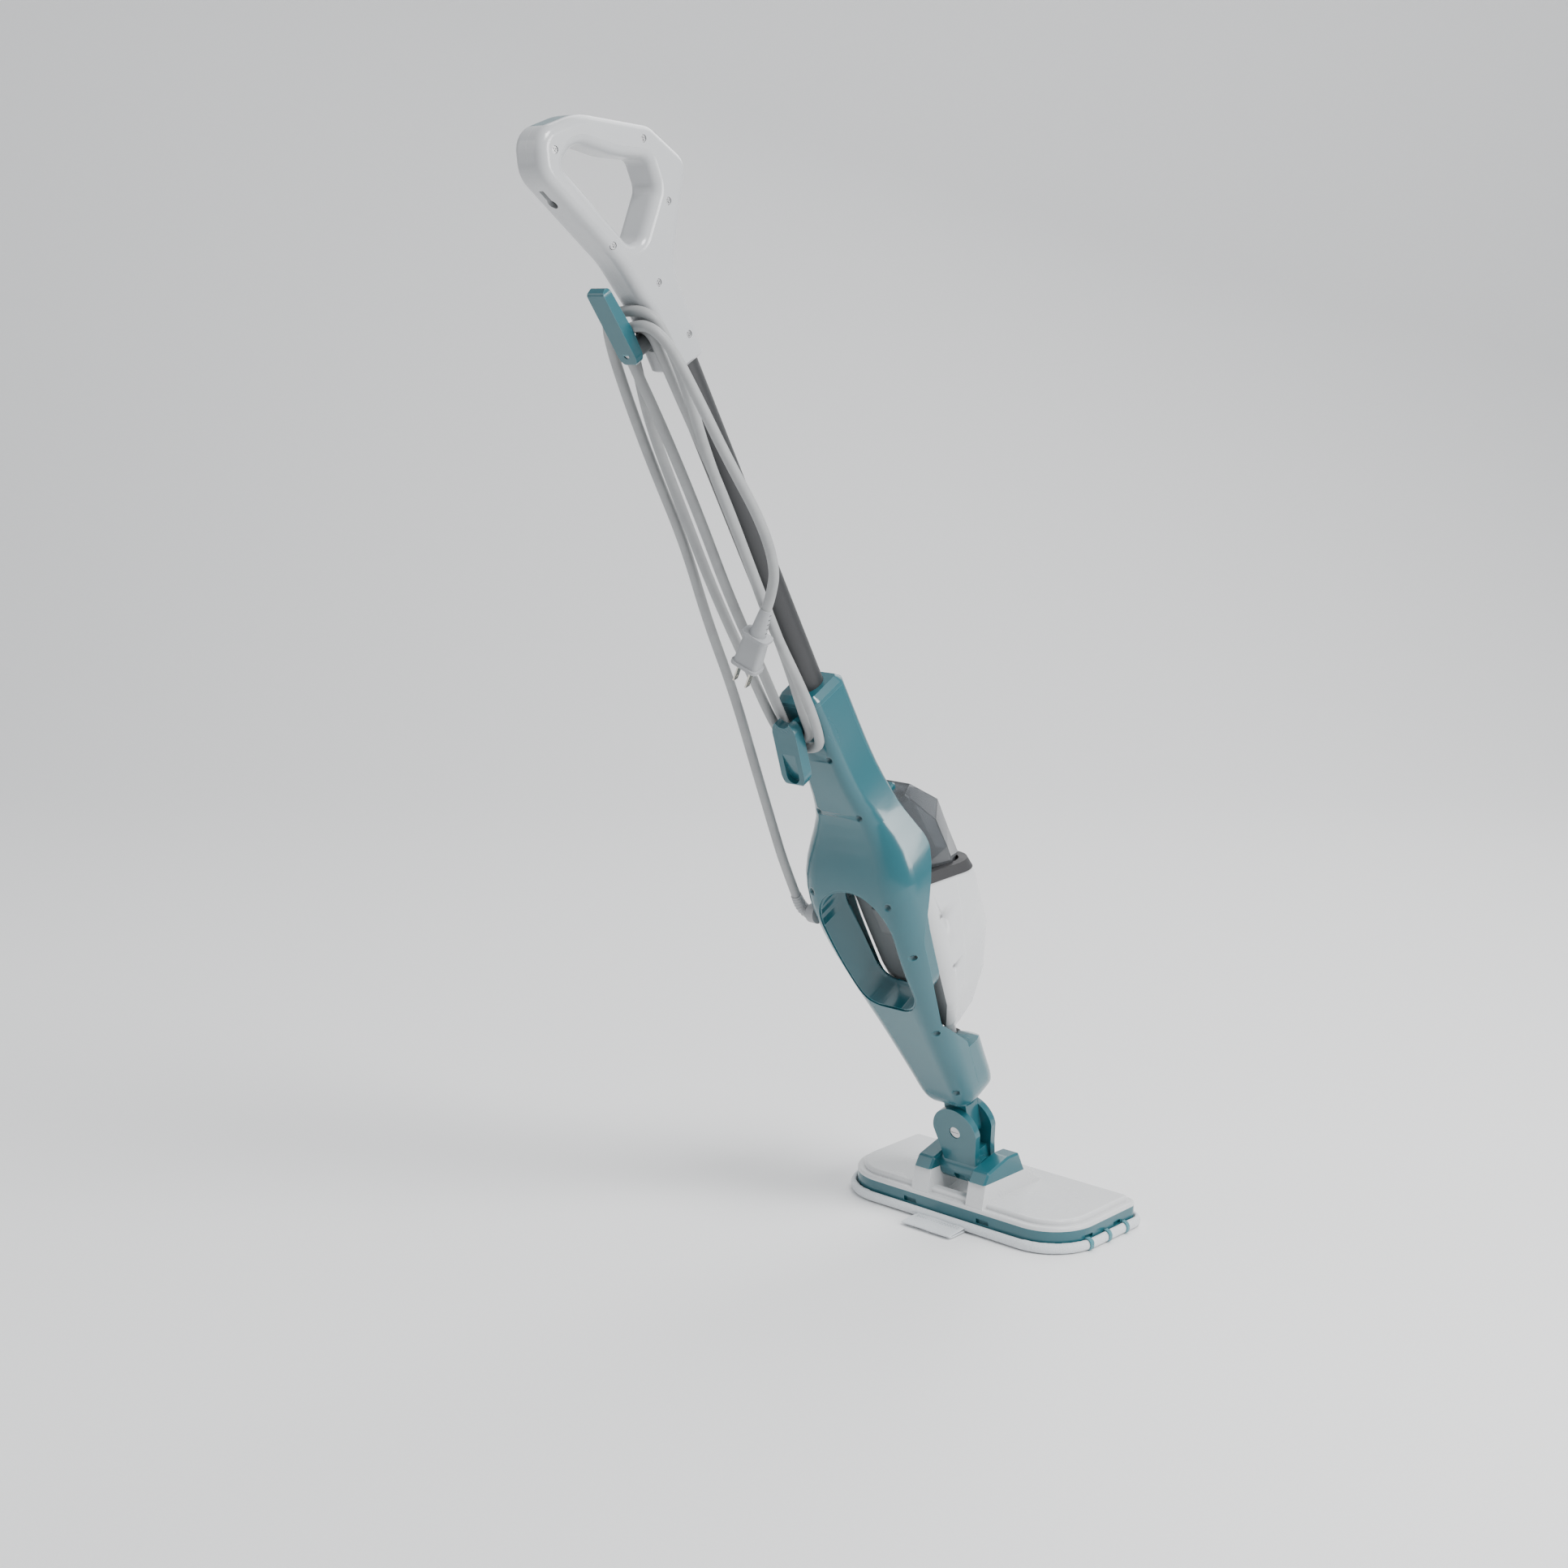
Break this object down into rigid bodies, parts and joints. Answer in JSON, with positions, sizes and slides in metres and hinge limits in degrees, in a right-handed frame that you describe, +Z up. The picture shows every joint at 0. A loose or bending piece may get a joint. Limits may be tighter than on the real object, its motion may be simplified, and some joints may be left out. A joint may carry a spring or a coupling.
{
  "type": "steam mop",
  "caption": "Steam mop with a D-shaped loop handle, oval pole, docked hand steamer with smoked tank, wrapped power cord and rounded floor head with a cloth pad.",
  "frame": {"origin": "centre of the pad's underside, on the floor", "axes": "X along the floor head, +Y towards the user behind the head, +Z up; the pole leans back 29 degrees from +Z towards +Y"},
  "size_m": [0.3015, 0.6672, 1.0466],
  "materials": {
    "teal_plastic": "glossy moulded plastic",
    "white_plastic": "glossy moulded plastic",
    "handle_plastic": "glossy moulded plastic",
    "grey_plastic": "fine satin plastic",
    "pale_plastic": "satin plastic",
    "smoked_plastic": "clear smoke-tinted plastic",
    "pole_metal": "satin powder coat on tube",
    "black_rubber": "matte rubber",
    "pad_cloth": "microfibre pile",
    "teal_elastic": "woven elastic",
    "steel": "plain steel",
    "boiler_metal": "cast aluminium",
    "pump_plastic": "moulded plastic",
    "board_laminate": "laminate",
    "cord_sleeve": "satin sleeve",
    "blade_metal": "nickel-plated brass"
  },
  "bodies": {
    "housing": {"rear_shell": "teal_plastic", "window_surround": "teal_plastic", "front_shell": "teal_plastic", "dock": "teal_plastic", "dock_seal": "black_rubber", "shoulder_cap": "teal_plastic", "shell_screws": "steel", "neck": "teal_plastic", "pole": "pole_metal", "handle_right": "handle_plastic", "handle_left": "handle_plastic", "grip_liner": "handle_plastic", "grip_inlay": "teal_plastic", "handle_screws": "steel", "hook_post": "grey_plastic", "hook_pin": "steel", "lower_hook": "teal_plastic", "cord_gland": "pale_plastic", "strain_relief": "pale_plastic", "power_cord": "cord_sleeve", "plug_relief": "pale_plastic", "plug_body": "pale_plastic", "plug_blades": "blade_metal"},
    "yoke_joint": {"yoke": "teal_plastic", "swivel_pin": "steel"},
    "floor_head": {"base_frame": "teal_plastic", "steam_plate": "steel", "head_seal": "black_rubber", "head_screws": "steel", "head_cover": "white_plastic", "cheek_cap_right": "teal_plastic", "cheek_cap_left": "teal_plastic", "tilt_pins": "steel"},
    "mop_pad": {"pad": "pad_cloth", "pad_border": "pad_cloth", "pad_tab": "pad_cloth", "pad_loops": "teal_elastic"},
    "cord_hook": {"upper_hook": "teal_plastic"},
    "hand_steamer": {"steamer_front": "white_plastic", "steamer_middle": "white_plastic", "steamer_back": "grey_plastic", "steamer_screws": "steel", "tank_ring": "black_rubber", "ring_floor": "black_rubber", "boiler": "boiler_metal", "pump": "pump_plastic", "circuit_board": "board_laminate", "steam_pipe": "steel", "steamer_nozzle": "pale_plastic"},
    "tank_unit": {"water_tank": "smoked_plastic", "filler_tube": "pale_plastic", "tank_latch": "teal_plastic"},
    "button": {"release_button": "teal_plastic"},
    "trigger": {"steam_trigger": "grey_plastic"}
  },
  "joints": [
    {"name": "side_swivel", "type": "hinge", "parent": "housing", "child": "yoke_joint", "pos_m": [0, 0.04165, 0.09547], "axis": [0, 0.9659, -0.2588], "range_deg": [-40, 40]},
    {"name": "head_tilt", "type": "hinge", "parent": "yoke_joint", "child": "floor_head", "pos_m": [0, 0.03, 0.052], "axis": [1, 0, 0], "range_deg": [-29, 45]},
    {"name": "pad_pull_off", "type": "slide", "parent": "floor_head", "child": "mop_pad", "axis": [0, 0, -1], "range_m": [0, 0.03]},
    {"name": "cord_hook_turn", "type": "hinge", "parent": "housing", "child": "cord_hook", "pos_m": [0, 0.48858, 0.86569], "axis": [0, 0.8746, -0.4848], "range_deg": [0, 180]},
    {"name": "steamer_lift_off", "type": "slide", "parent": "housing", "child": "hand_steamer", "axis": [0, -0.8746, 0.4848], "range_m": [0, 0.1]},
    {"name": "tank_lift_off", "type": "slide", "parent": "hand_steamer", "child": "tank_unit", "axis": [0, 0.0523, 0.9986], "range_m": [0, 0.06]},
    {"name": "release_button_press", "type": "slide", "parent": "housing", "child": "button", "axis": [0, 0.8746, -0.4848], "range_m": [0, 0.003], "stiffness_N_per_m": 300},
    {"name": "steam_trigger_press", "type": "slide", "parent": "hand_steamer", "child": "trigger", "axis": [0, -0.8746, 0.4848], "range_m": [0, 0.0035], "stiffness_N_per_m": 300}
  ]
}
